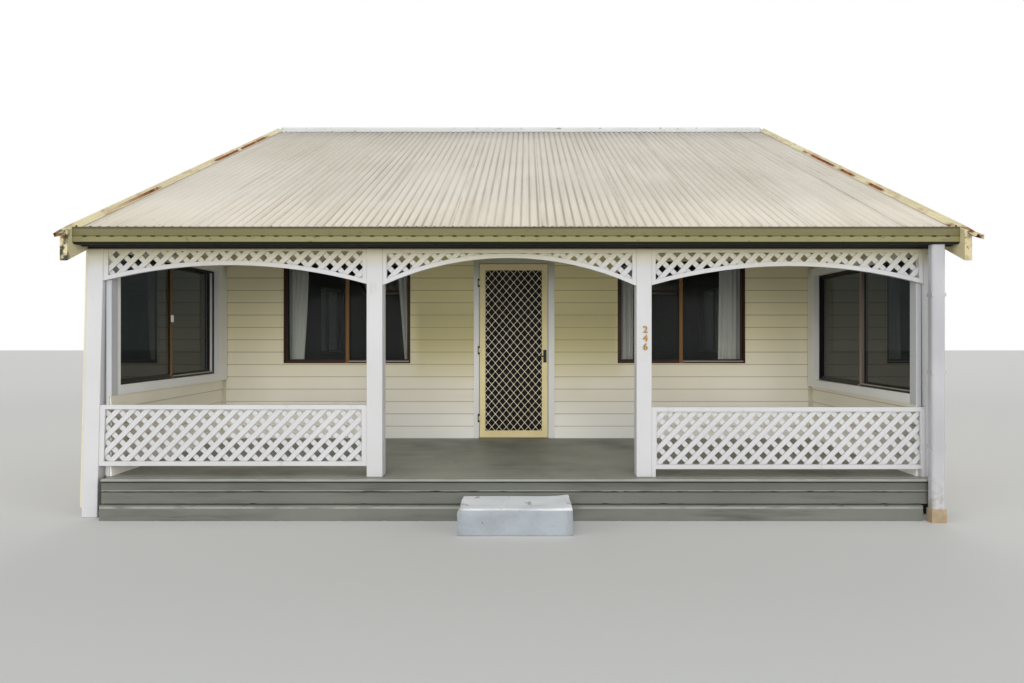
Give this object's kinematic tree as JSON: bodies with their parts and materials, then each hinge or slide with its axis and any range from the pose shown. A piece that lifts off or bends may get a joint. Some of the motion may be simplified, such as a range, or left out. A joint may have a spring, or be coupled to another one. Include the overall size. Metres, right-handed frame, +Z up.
{
  "type": "beach house",
  "caption": "Single-storey weatherboard beach house with a corrugated gable roof, a lattice-trimmed front verandah, sliding windows and a hinged screen door.",
  "frame": {"origin": "on the lowest ground under the middle of the ridge, which is the middle of the plan", "axes": "+Z up, the verandah faces -Y, +X to the right seen from the front"},
  "size_m": [7.525, 10.464, 4.7696],
  "materials": {
    "concrete": "rough grey concrete",
    "frame_timber": "raw sawn pine",
    "grey_boards": "worn dark grey deck paint",
    "floor_boards": "plain varnished boards",
    "deck_paint": "worn grey deck paint",
    "step_paint": "worn pale blue-grey paint on concrete",
    "cream_cladding": "cream satin paint on weatherboards",
    "cream_trim": "cream satin paint",
    "white_paint": "white satin paint",
    "brown_frame": "bronze powder coat",
    "glass": "clear float glass",
    "black_metal": "black satin",
    "screen_frame": "cream powder coat",
    "dark_mesh": "fine dark insect mesh",
    "roof_sheet": "weathered cream-grey steel",
    "barge_paint": "pale yellow-cream with rust patches",
    "gutter_paint": "faded olive-khaki",
    "pipe_paint": "white gloss",
    "rod_metal": "satin",
    "curtain_cloth": "thin off-white cloth"
  },
  "bodies": {
    "house": {"stumps": "concrete", "floor_bearers": "frame_timber", "floor_joists": "frame_timber", "base_boards": "grey_boards", "house_floor": "floor_boards", "verandah_deck": "deck_paint", "deck_skirt": "grey_boards", "steps": "step_paint", "front_wall_left": "cream_cladding", "front_wall_right": "cream_cladding", "front_wall_over_door": "cream_cladding", "left_wall": "cream_cladding", "right_wall": "cream_cladding", "rear_wall": "cream_cladding", "corner_boards": "cream_trim", "wing_casings": "white_paint", "wing_windows": "brown_frame", "front_windows": "brown_frame", "house_windows": "brown_frame", "window_glass": "glass", "door_frame": "white_paint", "door_hinges": "black_metal", "rear_door": "cream_trim", "ridge_board": "frame_timber", "rafters": "frame_timber", "purlins": "frame_timber", "roof_front": "roof_sheet", "roof_rear": "roof_sheet", "ridge_cap": "roof_sheet", "barge_caps": "barge_paint", "barge_boards": "barge_paint", "fascia_boards": "cream_trim", "gutters": "gutter_paint", "downpipes": "pipe_paint", "downpipe_stubs": "concrete", "verandah_ceiling": "white_paint", "verandah_beam": "white_paint", "corner_posts": "white_paint", "verandah_posts": "white_paint", "valance_left": "white_paint", "valance_middle": "white_paint", "valance_right": "white_paint", "balustrade_left": "white_paint", "balustrade_right": "white_paint", "curtain_rods": "rod_metal", "curtains": "curtain_cloth"},
    "screen_door_leaf": {"screen_door": "screen_frame", "screen_grille": "screen_frame", "screen_mesh": "dark_mesh", "screen_handle": "black_metal"}
  },
  "joints": [
    {"name": "screen_door_hinge", "type": "hinge", "parent": "house", "child": "screen_door_leaf", "pos_m": [-0.45325, -2.447, 1.393], "axis": [0, 0, -1], "range_deg": [0, 100]}
  ]
}
